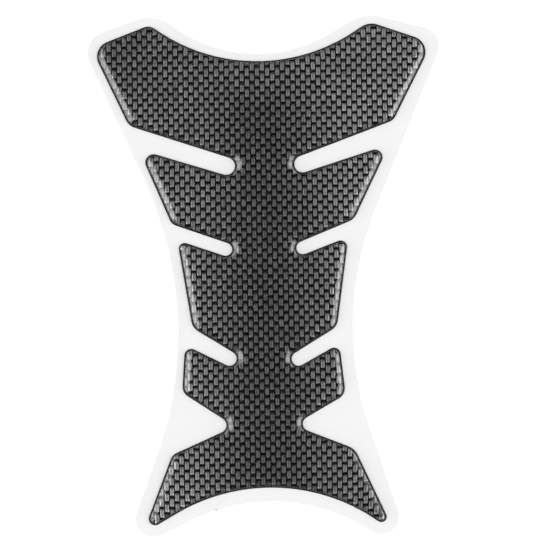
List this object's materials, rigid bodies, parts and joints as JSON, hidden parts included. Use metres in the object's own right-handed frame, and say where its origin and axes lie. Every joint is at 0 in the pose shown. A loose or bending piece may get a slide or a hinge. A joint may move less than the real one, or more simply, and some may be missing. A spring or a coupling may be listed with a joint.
{
  "type": "motorcycle tank pad",
  "caption": "Self-adhesive protective pad for a fuel tank, with ribs cut by side slots, a clear domed face over a printed weave, and a release liner.",
  "frame": {"origin": "on the liner's underside, at the middle of its length and width", "axes": "+Z out of the pad's domed face, +Y from the tail to the shoulders, +X to the right of the face"},
  "size_m": [0.1508, 0.2232, 0.0023],
  "materials": {
    "liner_paper": "smooth coated paper",
    "black_film": "satin",
    "weave_ink": "printed",
    "clear_resin": "clear gloss"
  },
  "bodies": {
    "root": {"release_liner": "liner_paper", "adhesive_film": "black_film", "weave_print": "weave_ink", "gel_dome": "clear_resin"}
  },
  "joints": []
}
